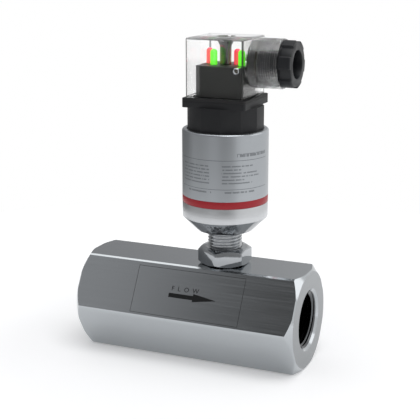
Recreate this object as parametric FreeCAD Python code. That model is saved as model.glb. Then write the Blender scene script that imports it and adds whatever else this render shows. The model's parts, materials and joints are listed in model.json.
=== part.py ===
import FreeCAD, Part
import math
import os

# Turbine flow meter. Millimetres, +Z up, +X the way the liquid flows.
# The origin is the centre of the flat that the hexagonal body lies on.

V = FreeCAD.Vector
X_AXIS = V(1, 0, 0)
Y_AXIS = V(0, 1, 0)
Z_AXIS = V(0, 0, 1)

# Hexagonal body and its bore
body_af = 46.0
body_length = 110.0
edge_break = 0.65
end_chamfer_length = 3.2
end_face_margin = 0.35
port_minor_r = 12.06
port_depth = 16.0
port_mouth_r = 14.6
port_step_chamfer = 1.0
pocket_chamfer = 1.0
bore_r = 11.0
chamber_r = 10.0
chamber_length = 16.0
pickup_x = 13.0
pocket_floor_wall = 1.5

# Rotor on its shaft
rotor_length = 12.0
rotor_hub_r = 4.5
rotor_tip_gap = 0.4
blade_count = 6
blade_lead = 62.0
blade_thickness = 1.3
blade_root = 1.0
blade_steps = 4
hub_edge_break = 0.43
shaft_r = 1.0
shaft_end_gap = 0.4

# Straighteners, bearings and retaining rings
hub_r = 5.0
nose_length = 9.0
straightener_length = 33.0
support_length = 12.0
tail_r = 2.2
vane_count = 4
vane_thickness = 1.2
vane_end_gap = 3.0
vane_root = 0.5
vane_lead = 1.0
bearing_r = 2.2
bearing_collar_r = 3.2
bearing_depth = 7.0
ring_groove_depth = 0.7
retaining_ring_thickness = 1.0
retaining_ring_width = 1.8
retaining_ring_opening = 5.0

# Threaded neck, lock nut and pickup
stub_r = 8.0
stub_bore_r = 5.6
stub_floor = 1.0
stub_tip_chamfer = 1.0
stub_thread_in_housing = 4.0
nut_af = 22.0
nut_height = 8.0
nut_chamfer_deg = 30.0
nut_chamfer_share = 0.95
exposed_thread = 8.6
pole_r = 1.5
bobbin_wall = 0.7
bobbin_flange = 0.8
coil_height = 11.0
coil_margin = 0.4
magnet_r = 3.0
magnet_height = 5.0

# Electronics housing
housing_r = 19.85
housing_foot_r = 13.25
band_height = 7.1
housing_wall = 3.0
accent_height = 3.3
sleeve_height = 30.5
sleeve_wall = 2.1
sleeve_rim_radius = 1.0
spigot_height = 8.0
o_ring_r = 0.6
o_ring_sides = 8
board_width = 24.0
board_thickness = 1.6
board_height = 36.0
component_count = 3
component_pitch = 8.5
component_width = 12.0
component_height = 5.0
component_depth = 2.6

# Connector on top of the housing
base_sides = 12
base_exposed = 10.6
base_skirt = 9.0
base_wall = 2.4
flange_side = 30.5
flange_height = 3.0
flange_corner_r = 1.6
gasket_height = 1.2
pin_circle_r = 9.0
pin_width = 6.3
pin_thickness = 0.8
earth_pin_width = 4.8
pin_height = 11.5
pin_root = 3.0

# Plug
cap_side = 27.5
cap_height = 26.6
cap_wall = 1.0
cap_edge_r = 0.8
block_margin = 1.7
block_right_margin = 0.3
block_height = 14.0
block_front_chamfer = 2.8
block_rear_chamfer = 5.6
socket_wall = 1.0
socket_height = 9.5
terminal_screw_r = 1.6
terminal_screw_length = 5.0
terminal_screw_x = 9.3
terminal_socket_r = 1.0
terminal_socket_depth = 1.5
led_r = 1.6
led_height = 7.0
led_pair_x = 6.75
led_offset_x = 1.95
led_offset_y = 2.35
well_r = 2.6
funnel_top_r = 4.1
funnel_height = 3.3
screw_recess_r = 4.5
screw_recess_depth = 0.6
screw_r = 1.5
screw_head_r = 2.5
screw_head_height = 2.0
screw_head_sink = 1.0
screw_slot_width = 0.6
screw_slot_depth = 0.9
screw_grip = 6.0

# Cable gland
gland_r = 11.1
gland_length = 14.6
gland_bore_r = 9.8
gland_rim_radius = 0.8
gland_top_margin = 0.1
cable_hole_r = 8.6
grommet_length = 3.6
grommet_bore_r = 5.0
washer_thickness = 0.8
cable_entry_r = 6.35
gland_nut_r = 10.8
gland_nut_length = 5.7
rib_count = 6
rib_width = 5.4
rib_height = 1.1
rib_first_deg = 261.5
gland_nut_edge = 0.5

# Clearances
shaft_fit = 0.05
thread_fit = 0.05
axial_play = 0.3
seat_gap = 0.05
press_gap = 0.02
slide_gap = 0.12
round_gap = 0.3

# How far a cutter runs past what it cuts, and how near two heights count as one
overrun = 1.0
nearly = 0.01

# Heights and places that follow
bore_z = body_af / 2
chamber_start = pickup_x - chamber_length / 2
chamber_end = pickup_x + chamber_length / 2
rotor_start = pickup_x - rotor_length / 2
pocket_floor_z = bore_z + chamber_r + pocket_floor_wall
nut_top_z = body_af + nut_height
housing_foot_z = nut_top_z + exposed_thread
band_foot_z = housing_foot_z + housing_r - housing_foot_r
accent_z = band_foot_z + band_height
sleeve_z = accent_z + accent_height
sleeve_top_z = sleeve_z + sleeve_height
flange_z = sleeve_top_z + base_exposed
gasket_z = flange_z + flange_height
plug_z = gasket_z + gasket_height
block_top_z = plug_z + block_height
cap_top_z = plug_z + cap_height
gland_z = cap_top_z - gland_r - gland_top_margin
stub_top_z = housing_foot_z + stub_thread_in_housing
sleeve_inner_r = housing_r - sleeve_wall
spigot_r = sleeve_inner_r - seat_gap
base_r = sleeve_inner_r - slide_gap
cap_half = cap_side / 2
block_half_depth = cap_half - cap_wall - block_margin
block_left = block_half_depth
block_right = cap_half - cap_wall - block_right_margin
screw_hole_r = screw_r + shaft_fit
screw_seat_z = cap_top_z - screw_recess_depth - screw_head_sink - screw_head_height
gland_end_x = cap_half + gland_length
straightener_face_x = chamber_start - straightener_length
support_face_x = chamber_end + support_length


def turned(profile):
    """A solid turned about Z from (radius, height) points."""
    points = [V(radius, 0, height) for radius, height in profile]
    face = Part.Face(Part.makePolygon(points + points[:1]))
    return face.revolve(V(0, 0, 0), Z_AXIS, 360)


def washer(outer_r, inner_r, base, height):
    """A plain ring standing on z = base."""
    outer = Part.makeCylinder(outer_r, height, V(0, 0, base))
    return outer.cut(Part.makeCylinder(inner_r, height, V(0, 0, base)))


def block(x_low, x_high, y_low, y_high, z_low, z_high):
    """A box from its low and high corners."""
    return Part.makeBox(x_high - x_low, y_high - y_low, z_high - z_low, V(x_low, y_low, z_low))


def rounded_plate(side, corner_r, base, height):
    """A square plate with rounded upright corners."""
    half = side / 2
    plate = block(-half, half, -half, half, base, base + height)
    upright = [edge for edge in plate.Edges if abs(edge.tangentAt(edge.FirstParameter).z) > 0.9]
    return plate.makeFillet(corner_r, upright)


def prism(sides, corner_r, base, height, first_deg):
    """A regular prism standing on z = base, with one corner at first_deg."""
    corners = []
    for index in range(sides):
        angle = math.radians(first_deg + index * 360 / sides)
        corners.append(V(corner_r * math.cos(angle), corner_r * math.sin(angle), base))
    return Part.Face(Part.makePolygon(corners + corners[:1])).extrude(V(0, 0, height))


def along_bore(shape):
    """Lay a shape made about Z on the bore, with its +Z along +X."""
    placed = shape.copy()
    placed.rotate(V(0, 0, 0), Y_AXIS, 90)
    placed.translate(V(0, 0, bore_z))
    return placed


def over_pickup(shape):
    """Move a shape made about Z to the column over the rotor."""
    placed = shape.copy()
    placed.translate(V(pickup_x, 0, 0))
    return placed


def along_gland(shape):
    """Lay a shape made about Z, from the column's axis, on the cable gland's axis."""
    placed = shape.copy()
    placed.rotate(V(0, 0, 0), Y_AXIS, 90)
    placed.translate(V(pickup_x, 0, gland_z))
    return placed


def hex_bar():
    """The bar before boring: broken long edges and coned ends."""
    corner_r = body_af / math.sqrt(3)
    half = body_length / 2
    bar = prism(6, corner_r, -half, body_length, 30)
    long_edges = [edge for edge in bar.Edges if abs(edge.tangentAt(edge.FirstParameter).z) > 0.9]
    bar = bar.makeChamfer(edge_break, long_edges)
    face_r = body_af / 2 - end_face_margin
    slope = (corner_r - face_r) / end_chamfer_length
    reach = end_chamfer_length + overrun
    wide_r = face_r + slope * reach
    envelope = turned([
        (0, -half), (face_r, -half), (wide_r, -half + reach),
        (wide_r, half - reach), (face_r, half), (0, half),
    ])
    return bar.common(envelope)


def flow_bore():
    """What is bored out of the bar, along Z with the flow."""
    half = body_length / 2
    mouth = port_mouth_r - port_minor_r
    inlet_groove_x = straightener_face_x - seat_gap
    outlet_groove_x = support_face_x + seat_gap
    groove_r = bore_r + ring_groove_depth
    groove = retaining_ring_thickness + 2 * seat_gap
    return turned([
        (0, -half), (port_mouth_r, -half), (port_minor_r, -half + mouth),
        (port_minor_r, -half + port_depth), (bore_r, -half + port_depth + port_step_chamfer),
        (bore_r, inlet_groove_x - groove), (groove_r, inlet_groove_x - groove),
        (groove_r, inlet_groove_x), (bore_r, inlet_groove_x),
        (bore_r, chamber_start), (chamber_r, chamber_start),
        (chamber_r, chamber_end), (bore_r, chamber_end),
        (bore_r, outlet_groove_x), (groove_r, outlet_groove_x),
        (groove_r, outlet_groove_x + groove), (bore_r, outlet_groove_x + groove),
        (bore_r, half - port_depth - port_step_chamfer), (port_minor_r, half - port_depth),
        (port_minor_r, half - mouth), (port_mouth_r, half), (0, half),
    ])


def hex_body():
    body = along_bore(hex_bar().cut(flow_bore()))
    pocket_r = stub_r + thread_fit
    pocket = Part.makeCylinder(pocket_r, body_af - pocket_floor_z + overrun, V(0, 0, pocket_floor_z))
    mouth_r = pocket_r + pocket_chamfer
    mouth = turned([
        (0, body_af - mouth_r), (mouth_r + overrun, body_af + overrun), (0, body_af + overrun),
    ])
    return body.cut(over_pickup(pocket.fuse(mouth)))


def vanes(length, start):
    """Flat blades from the hub out into the ring that carries them."""
    blades = []
    for index in range(vane_count):
        blade = block(
            hub_r - vane_root, chamber_r + vane_root, -vane_thickness / 2, vane_thickness / 2,
            start, start + length,
        )
        blade.rotate(V(0, 0, 0), Z_AXIS, index * 360 / vane_count)
        blades.append(blade)
    return blades


def straightener_ring(start, length):
    outer_r = bore_r - seat_gap
    inner_r = chamber_r + seat_gap
    return washer(outer_r, inner_r, start, length)


def bearing_pocket(face, depth, towards):
    """The blind seat of a sleeve bearing, sunk into a hub from its face."""
    start = face if towards > 0 else face - depth
    return Part.makeCylinder(bearing_r + press_gap, depth, V(0, 0, start))


def ogive(radius, length):
    """A pointed nose along -Z whose flank meets a cylinder of the same radius smoothly."""
    arc_r = (radius ** 2 + length ** 2) / (2 * radius)
    half_angle = math.asin(length / arc_r) / 2
    middle = V(radius - arc_r + arc_r * math.cos(half_angle), 0, -arc_r * math.sin(half_angle))
    flank = Part.Arc(V(radius, 0, 0), middle, V(0, 0, -length)).toShape()
    edges = [flank, Part.makeLine(V(0, 0, -length), V(0, 0, 0)), Part.makeLine(V(0, 0, 0), V(radius, 0, 0))]
    return Part.Face(Part.Wire(edges)).revolve(V(0, 0, 0), Z_AXIS, 360)


def inlet_straightener():
    """A bullet-nosed hub on four vanes inside a ring."""
    nose_base = straightener_face_x + nose_length
    nose = ogive(hub_r, nose_length)
    nose.translate(V(0, 0, nose_base))
    hub = Part.makeCylinder(hub_r, chamber_start - nose_base, V(0, 0, nose_base))
    vane_start = nose_base + vane_end_gap
    shape = hub.fuse(nose)
    for vane in vanes(chamber_start - vane_start - vane_end_gap, vane_start):
        shape = shape.fuse(vane)
    shape = shape.fuse(straightener_ring(straightener_face_x, straightener_length))
    shape = shape.cut(bearing_pocket(chamber_start, bearing_depth, -1))
    return along_bore(shape.removeSplitter())


def outlet_support():
    """A tapering hub on four vanes behind the rotor."""
    hub = turned([
        (0, chamber_end), (hub_r, chamber_end), (hub_r, support_face_x - vane_end_gap),
        (tail_r, support_face_x), (0, support_face_x),
    ])
    vane_start = chamber_end + vane_lead
    shape = hub
    for vane in vanes(support_face_x - vane_end_gap - vane_start, vane_start):
        shape = shape.fuse(vane)
    shape = shape.fuse(straightener_ring(chamber_end, support_length))
    shape = shape.cut(bearing_pocket(chamber_end, bearing_depth, 1))
    return along_bore(shape.removeSplitter())


def bearing(face, towards):
    """A collared sleeve bearing that stands out of a hub towards the rotor."""
    rotor_face = rotor_start if towards < 0 else rotor_start + rotor_length
    collar = abs(rotor_face - face) - axial_play
    inner_r = shaft_r + shaft_fit
    sleeve_length = bearing_depth - seat_gap
    outline = turned([
        (inner_r, -sleeve_length), (bearing_r, -sleeve_length), (bearing_r, 0),
        (bearing_collar_r, 0), (bearing_collar_r, collar), (inner_r, collar),
    ])
    if towards > 0:
        outline.rotate(V(0, 0, 0), Y_AXIS, 180)
    outline.translate(V(0, 0, face))
    return along_bore(outline)


def rotor_blade():
    """One helical blade, as a loft of thin strips that turn along the axis."""
    tip_r = chamber_r - rotor_tip_gap
    inner_r = rotor_hub_r - blade_root
    outer_r = tip_r + overrun
    half = blade_thickness / 2
    sections = []
    for step in range(blade_steps + 1):
        along = rotor_length * step / blade_steps
        strip = [V(inner_r, -half, 0), V(outer_r, -half, 0), V(outer_r, half, 0), V(inner_r, half, 0)]
        wire = Part.makePolygon(strip + strip[:1])
        wire.rotate(V(0, 0, 0), Z_AXIS, 360 * along / blade_lead)
        wire.translate(V(0, 0, along))
        sections.append(wire)
    blade = Part.makeLoft(sections, True, False)
    return blade.common(Part.makeCylinder(tip_r, rotor_length))


def rotor():
    """A hub with helical blades that the flow turns, bored for its shaft."""
    hub = Part.makeCylinder(rotor_hub_r, rotor_length)
    rims = [edge for edge in hub.Edges if abs(edge.Length - 2 * math.pi * rotor_hub_r) < nearly]
    shape = hub.makeChamfer(hub_edge_break, rims)
    blade = rotor_blade()
    for index in range(blade_count):
        turned_blade = blade.copy()
        turned_blade.rotate(V(0, 0, 0), Z_AXIS, index * 360 / blade_count)
        shape = shape.fuse(turned_blade)
    shape = shape.cut(Part.makeCylinder(shaft_r + press_gap, rotor_length))
    shape.translate(V(0, 0, rotor_start))
    return along_bore(shape)


def rotor_shaft():
    """The pin through the rotor, which ends just short of each bearing pocket's floor."""
    reach = (chamber_length - rotor_length) / 2 + bearing_depth - shaft_end_gap
    start = rotor_start - reach
    return along_bore(Part.makeCylinder(shaft_r, rotor_length + 2 * reach, V(0, 0, start)))


def retaining_ring(start):
    """An open spring ring that snaps into the bore's groove."""
    outer_r = bore_r + ring_groove_depth - seat_gap
    ring = washer(outer_r, outer_r - retaining_ring_width, start, retaining_ring_thickness)
    half = retaining_ring_opening / 2
    cutter_end = start + retaining_ring_thickness + overrun
    opening = block(-half, half, 0, outer_r + overrun, start - overrun, cutter_end)
    return along_bore(ring.cut(opening))


def sensor_stub():
    """The closed-end threaded neck that screws into the body and carries the housing."""
    start = pocket_floor_z + seat_gap
    shape = turned([
        (0, start), (stub_r - stub_tip_chamfer, start), (stub_r, start + stub_tip_chamfer),
        (stub_r, stub_top_z),
        (stub_bore_r, stub_top_z), (stub_bore_r, start + stub_floor), (0, start + stub_floor),
    ])
    return over_pickup(shape)


def lock_nut():
    """A hexagon nut with both faces coned, flats along the bore."""
    corner_r = nut_af / math.sqrt(3)
    face_r = nut_chamfer_share * nut_af / 2
    outer_r = corner_r + overrun
    rise = (outer_r - face_r) * math.tan(math.radians(nut_chamfer_deg))
    hexagon = prism(6, corner_r, body_af, nut_height, 30)
    envelope = turned([
        (stub_r + thread_fit, body_af), (face_r, body_af), (outer_r, body_af + rise),
        (outer_r, nut_top_z - rise), (face_r, nut_top_z), (stub_r + thread_fit, nut_top_z),
    ])
    return over_pickup(hexagon.common(envelope))


def pickup_floor_z():
    return pocket_floor_z + seat_gap + stub_floor


def coil_bobbin():
    """A flanged spool round the pole piece."""
    base = pickup_floor_z()
    top = base + 2 * bobbin_flange + coil_height
    inner_r = pole_r + press_gap
    flange_r = stub_bore_r - slide_gap
    core_r = inner_r + bobbin_wall
    shape = turned([
        (inner_r, base), (flange_r, base), (flange_r, base + bobbin_flange),
        (core_r, base + bobbin_flange), (core_r, top - bobbin_flange),
        (flange_r, top - bobbin_flange), (flange_r, top), (inner_r, top),
    ])
    return over_pickup(shape)


def pickup_coil():
    base = pickup_floor_z() + bobbin_flange
    inner_r = pole_r + press_gap + bobbin_wall + press_gap
    return over_pickup(washer(stub_bore_r - slide_gap - coil_margin, inner_r, base, coil_height))


def pole_piece():
    height = 2 * bobbin_flange + coil_height
    return over_pickup(Part.makeCylinder(pole_r, height, V(0, 0, pickup_floor_z())))


def pickup_magnet():
    base = pickup_floor_z() + 2 * bobbin_flange + coil_height
    return over_pickup(Part.makeCylinder(magnet_r, magnet_height, V(0, 0, base)))


def lower_housing():
    """The coned steel foot of the housing, with a spigot inside the sleeve."""
    neck_r = stub_r + thread_fit
    cavity_r = spigot_r - housing_wall
    floor_z = stub_top_z + seat_gap
    spigot_top_z = sleeve_z + spigot_height
    groove_z = sleeve_z + spigot_height / 2
    groove_r = spigot_r - 2 * o_ring_r + seat_gap
    shape = turned([
        (neck_r, housing_foot_z), (housing_foot_r, housing_foot_z), (housing_r, band_foot_z),
        (housing_r, accent_z), (spigot_r, accent_z),
        (spigot_r, groove_z - o_ring_r), (groove_r, groove_z - o_ring_r),
        (groove_r, groove_z + o_ring_r), (spigot_r, groove_z + o_ring_r),
        (spigot_r, spigot_top_z), (cavity_r, spigot_top_z),
        (cavity_r, floor_z), (neck_r, floor_z),
    ])
    return over_pickup(shape)


def housing_o_ring():
    """The seal in the spigot's groove, squeezed to an eight-sided section."""
    groove_z = sleeve_z + spigot_height / 2
    ring_r = spigot_r - o_ring_r
    section_r = o_ring_r - seat_gap
    outline = []
    for index in range(o_ring_sides):
        angle = math.radians((index + 0.5) * 360 / o_ring_sides)
        outline.append((ring_r + section_r * math.cos(angle), groove_z + section_r * math.sin(angle)))
    return over_pickup(turned(outline))


def accent_ring():
    return over_pickup(washer(housing_r, sleeve_inner_r, accent_z, accent_height))


def housing_sleeve():
    """The plain tube round the electronics, its top rim rounded."""
    sleeve = Part.makeCylinder(housing_r, sleeve_height, V(0, 0, sleeve_z))
    top_rim = [edge for edge in sleeve.Edges if edge.BoundBox.ZMin > sleeve_top_z - nearly]
    sleeve = sleeve.makeFillet(sleeve_rim_radius, top_rim)
    return over_pickup(sleeve.cut(Part.makeCylinder(sleeve_inner_r, sleeve_height, V(0, 0, sleeve_z))))


def board_floor_z():
    return stub_top_z + seat_gap


def circuit_board():
    half = board_width / 2
    base = board_floor_z()
    return over_pickup(block(-half, half, 0, board_thickness, base, base + board_height))


def board_components():
    """A column of larger parts on the board's front face."""
    half = component_width / 2
    solids = []
    for index in range(component_count):
        low = board_floor_z() + component_pitch * (index + 1)
        solids.append(block(-half, half, -component_depth, 0, low, low + component_height))
    return over_pickup(Part.makeCompound(solids))


def connector_base():
    """The twelve-sided socket body that closes the sleeve, with a square flange."""
    skirt_z = sleeve_top_z - base_skirt
    skirt = Part.makeCylinder(base_r, base_skirt, V(0, 0, skirt_z))
    grip = prism(base_sides, base_r, sleeve_top_z, base_exposed, 180 / base_sides)
    flange = rounded_plate(flange_side, flange_corner_r, flange_z, flange_height)
    shape = skirt.fuse(grip).fuse(flange)
    hollow_top = flange_z - base_wall
    shape = shape.cut(Part.makeCylinder(base_r - base_wall, hollow_top - skirt_z, V(0, 0, skirt_z)))
    boss_r = screw_r + base_wall
    boss_z = gasket_z - screw_grip - base_wall
    shape = shape.fuse(Part.makeCylinder(boss_r, gasket_z - boss_z, V(0, 0, boss_z)))
    hole = Part.makeCylinder(screw_hole_r, screw_grip + overrun, V(0, 0, gasket_z - screw_grip))
    shape = shape.cut(hole)
    for slot in pin_slots(press_gap, gasket_z - pin_root - press_gap, gasket_z):
        shape = shape.cut(slot)
    return over_pickup(shape.removeSplitter())


def pin_blade(width, angle, margin, low, high):
    """An upright blade on the pin circle, its broad face outwards."""
    blade = block(
        pin_circle_r - pin_thickness / 2 - margin, pin_circle_r + pin_thickness / 2 + margin,
        -width / 2 - margin, width / 2 + margin, low, high,
    )
    blade.rotate(V(0, 0, 0), Z_AXIS, angle)
    return blade


def pin_slots(margin, low, high):
    """Every pin's outline, grown by margin."""
    slots = [pin_blade(pin_width, angle, margin, low, high) for angle in (0, 180, 270)]
    slots.append(pin_blade(earth_pin_width, 90, margin, low, high))
    return slots


def contact_pins():
    low = gasket_z - pin_root
    high = gasket_z + pin_height
    return over_pickup(Part.makeCompound(pin_slots(0, low, high)[:3]))


def earth_pin():
    low = gasket_z - pin_root
    high = gasket_z + pin_height
    return over_pickup(pin_slots(0, low, high)[3])


def profile_gasket():
    """The flat seal between flange and plug, pierced for pins and screw."""
    shape = rounded_plate(flange_side, flange_corner_r, gasket_z, gasket_height)
    shape = shape.cut(Part.makeCylinder(screw_r + round_gap, gasket_height, V(0, 0, gasket_z)))
    for slot in pin_slots(slide_gap, gasket_z, plug_z):
        shape = shape.cut(slot)
    return over_pickup(shape)


def socket_boxes(margin):
    """The outline of each pin's socket inside the terminal block."""
    top = plug_z + socket_height
    return pin_slots(slide_gap + socket_wall + margin, plug_z, top + margin)


def screw_places():
    """Each terminal screw's outer end and the way it points in."""
    height = block_top_z - terminal_screw_r
    return [
        (V(terminal_screw_x, -block_half_depth, height), V(0, 1, 0)),
        (V(-terminal_screw_x / 2, block_half_depth, height), V(0, -1, 0)),
        (V(-block_left, -terminal_screw_x / 2, height), V(1, 0, 0)),
    ]


def terminal_block():
    """The insulator that holds the sockets, two corners cut off."""
    half = block_half_depth
    outline = [
        V(-block_left + block_front_chamfer, -half, plug_z), V(block_right, -half, plug_z),
        V(block_right, half - block_rear_chamfer, plug_z),
        V(block_right - block_rear_chamfer, half, plug_z), V(-block_left, half, plug_z),
        V(-block_left, -half + block_front_chamfer, plug_z),
    ]
    shape = Part.Face(Part.makePolygon(outline + outline[:1])).extrude(V(0, 0, block_height))
    shape = shape.cut(Part.makeCylinder(screw_r + round_gap, block_height, V(0, 0, plug_z)))
    for socket in socket_boxes(press_gap):
        shape = shape.cut(socket)
    for slot in pin_slots(slide_gap, plug_z, gasket_z + pin_height + slide_gap):
        shape = shape.cut(slot)
    for place, inward in screw_places():
        hole = Part.makeCylinder(terminal_screw_r + press_gap, terminal_screw_length, place, inward)
        notch = hole.copy()
        notch.translate(V(0, 0, terminal_screw_r))
        shape = shape.cut(hole).cut(notch)
    return over_pickup(shape)


def terminal_sleeves():
    """The brass sockets that slide over the pins."""
    gaps = pin_slots(slide_gap, plug_z, gasket_z + pin_height + slide_gap)
    solids = [box.cut(gap) for box, gap in zip(socket_boxes(0), gaps)]
    return over_pickup(Part.makeCompound(solids))


def terminal_screws():
    """The socketed wire clamp screws in the block's upper edge."""
    solids = []
    for place, inward in screw_places():
        screw = Part.makeCylinder(terminal_screw_r, terminal_screw_length, place, inward)
        socket = Part.makeCylinder(terminal_socket_r, terminal_socket_depth, place, inward)
        solids.append(screw.cut(socket))
    return over_pickup(Part.makeCompound(solids))


def leds(sign):
    """Two dome-topped lamps on the terminal block."""
    solids = []
    for pair in (-1, 1):
        centre = V(pair * led_pair_x + sign * led_offset_x, -sign * led_offset_y, block_top_z)
        stem = Part.makeCylinder(led_r, led_height - led_r, centre)
        dome = Part.makeSphere(led_r, centre + V(0, 0, led_height - led_r))
        solids.append(stem.fuse(dome).removeSplitter())
    return over_pickup(Part.makeCompound(solids))


def screw_well():
    """The tube round the fixing screw, which opens into a funnel under the cap's top."""
    top_z = cap_top_z - cap_wall
    return turned([
        (0, block_top_z), (well_r, block_top_z), (well_r, top_z - funnel_height),
        (funnel_top_r, top_z), (0, top_z),
    ])


def plug_housing():
    """The clear cap with its screw well and its cable outlet, hollow from below."""
    shape = rounded_plate(cap_side, cap_edge_r, plug_z, cap_height)
    top_rim = [edge for edge in shape.Edges if edge.BoundBox.ZMin > cap_top_z - nearly]
    shape = shape.makeFillet(cap_edge_r, top_rim)
    inner = cap_half - cap_wall
    outlet = Part.makeCylinder(gland_r, gland_end_x - inner, V(0, 0, inner))
    rim = [edge for edge in outlet.Edges if edge.BoundBox.ZMin > gland_end_x - nearly]
    outlet = outlet.makeFillet(gland_rim_radius, rim)
    outlet.rotate(V(0, 0, 0), Y_AXIS, 90)
    outlet.translate(V(0, 0, gland_z))
    shape = shape.fuse(outlet)
    shape = shape.cut(block(-inner, inner, -inner, inner, plug_z, cap_top_z - cap_wall))
    bore = Part.makeCylinder(gland_bore_r, gland_length + overrun, V(cap_half, 0, gland_z), X_AXIS)
    hole = Part.makeCylinder(cable_hole_r, 2 * cap_wall, V(inner - cap_wall / 2, 0, gland_z), X_AXIS)
    shape = shape.cut(bore).cut(hole)
    shape = shape.fuse(screw_well())
    shape = shape.cut(Part.makeCylinder(screw_recess_r, cap_wall, V(0, 0, cap_top_z - screw_recess_depth)))
    head_well_r = screw_head_r + shaft_fit
    shape = shape.cut(Part.makeCylinder(head_well_r, cap_height, V(0, 0, screw_seat_z)))
    shape = shape.cut(Part.makeCylinder(screw_hole_r, cap_height, V(0, 0, plug_z)))
    return over_pickup(shape)


def fixing_screw():
    """The long slotted screw that holds the plug to the flange."""
    tip_z = gasket_z - screw_grip + 2 * seat_gap
    top_z = screw_seat_z + screw_head_height
    shape = turned([
        (0, tip_z), (screw_r - seat_gap, tip_z), (screw_r, tip_z + seat_gap),
        (screw_r, screw_seat_z), (screw_head_r, screw_seat_z), (screw_head_r, top_z), (0, top_z),
    ])
    half = screw_slot_width / 2
    slot = block(-screw_head_r, screw_head_r, -half, half, top_z - screw_slot_depth, top_z + overrun)
    return over_pickup(shape.cut(slot))


def gland_grommet():
    """The rubber ring that is squeezed round the cable."""
    return along_gland(washer(gland_bore_r - round_gap, grommet_bore_r, cap_half, grommet_length))


def gland_washer():
    start = cap_half + grommet_length
    return along_gland(washer(gland_bore_r - round_gap, cable_entry_r, start, washer_thickness))


def gland_nut():
    """A ribbed nut whose shank screws into the cable outlet and presses on the washer."""
    shank_start = cap_half + grommet_length + washer_thickness
    shank_r = gland_bore_r - round_gap
    nut_end_x = gland_end_x + gland_nut_length
    head = Part.makeCylinder(gland_nut_r - rib_height, gland_nut_length, V(0, 0, gland_end_x))
    blank = Part.makeCylinder(gland_nut_r, gland_nut_length, V(0, 0, gland_end_x))
    rims = [edge for edge in blank.Edges if edge.BoundBox.ZMin > nut_end_x - nearly]
    blank = blank.makeChamfer(gland_nut_edge, rims)
    for index in range(rib_count):
        rib = block(shank_r / 2, gland_nut_r + overrun, -rib_width / 2, rib_width / 2, gland_end_x, nut_end_x)
        rib.rotate(V(0, 0, 0), Z_AXIS, rib_first_deg + index * 360 / rib_count)
        head = head.fuse(rib.common(blank))
    shape = head.fuse(Part.makeCylinder(shank_r, gland_end_x - shank_start, V(0, 0, shank_start)))
    shape = shape.cut(Part.makeCylinder(cable_entry_r, nut_end_x - shank_start, V(0, 0, shank_start)))
    return along_gland(shape.removeSplitter())


def save(name, shape):
    shape.exportStep(os.path.join("parts", name + ".step"))


def main():
    os.makedirs("parts", exist_ok=True)
    save("hex_body", hex_body())
    save("inlet_straightener", inlet_straightener())
    save("outlet_support", outlet_support())
    save("inlet_bearing", bearing(chamber_start, -1))
    save("outlet_bearing", bearing(chamber_end, 1))
    inlet_ring_start = straightener_face_x - 2 * seat_gap - retaining_ring_thickness
    save("inlet_retaining_ring", retaining_ring(inlet_ring_start))
    save("outlet_retaining_ring", retaining_ring(support_face_x + 2 * seat_gap))
    save("rotor", rotor())
    save("rotor_shaft", rotor_shaft())
    save("sensor_stub", sensor_stub())
    save("lock_nut", lock_nut())
    save("coil_bobbin", coil_bobbin())
    save("pickup_coil", pickup_coil())
    save("pole_piece", pole_piece())
    save("pickup_magnet", pickup_magnet())
    save("lower_housing", lower_housing())
    save("housing_o_ring", housing_o_ring())
    save("accent_ring", accent_ring())
    save("housing_sleeve", housing_sleeve())
    save("circuit_board", circuit_board())
    save("board_components", board_components())
    save("connector_base", connector_base())
    save("contact_pins", contact_pins())
    save("earth_pin", earth_pin())
    save("profile_gasket", profile_gasket())
    save("terminal_block", terminal_block())
    save("terminal_sleeves", terminal_sleeves())
    save("terminal_screws", terminal_screws())
    save("green_leds", leds(1))
    save("red_leds", leds(-1))
    save("plug_housing", plug_housing())
    save("fixing_screw", fixing_screw())
    save("gland_grommet", gland_grommet())
    save("gland_washer", gland_washer())
    save("gland_nut", gland_nut())


main()
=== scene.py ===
import json
import math

import bpy
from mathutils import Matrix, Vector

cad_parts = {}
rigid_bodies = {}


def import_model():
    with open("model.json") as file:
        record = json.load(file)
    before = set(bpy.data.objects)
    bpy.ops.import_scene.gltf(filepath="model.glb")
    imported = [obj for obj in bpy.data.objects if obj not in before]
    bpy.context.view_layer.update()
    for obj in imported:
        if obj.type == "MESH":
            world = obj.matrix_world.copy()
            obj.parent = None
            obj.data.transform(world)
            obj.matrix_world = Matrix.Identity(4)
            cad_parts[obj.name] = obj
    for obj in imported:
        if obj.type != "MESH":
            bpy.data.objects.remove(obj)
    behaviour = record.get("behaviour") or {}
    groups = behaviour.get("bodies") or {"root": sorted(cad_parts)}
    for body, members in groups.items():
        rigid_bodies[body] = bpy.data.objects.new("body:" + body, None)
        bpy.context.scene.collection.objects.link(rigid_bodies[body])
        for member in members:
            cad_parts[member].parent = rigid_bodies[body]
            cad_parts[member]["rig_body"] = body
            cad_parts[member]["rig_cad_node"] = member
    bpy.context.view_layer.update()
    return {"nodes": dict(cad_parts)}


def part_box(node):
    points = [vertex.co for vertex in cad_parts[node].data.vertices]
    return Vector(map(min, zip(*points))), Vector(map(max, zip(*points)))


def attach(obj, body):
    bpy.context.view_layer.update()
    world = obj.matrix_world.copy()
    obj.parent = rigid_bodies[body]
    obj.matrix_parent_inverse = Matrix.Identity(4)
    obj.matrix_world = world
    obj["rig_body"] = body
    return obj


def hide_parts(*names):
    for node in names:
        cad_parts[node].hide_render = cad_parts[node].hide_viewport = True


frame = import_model()

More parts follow.
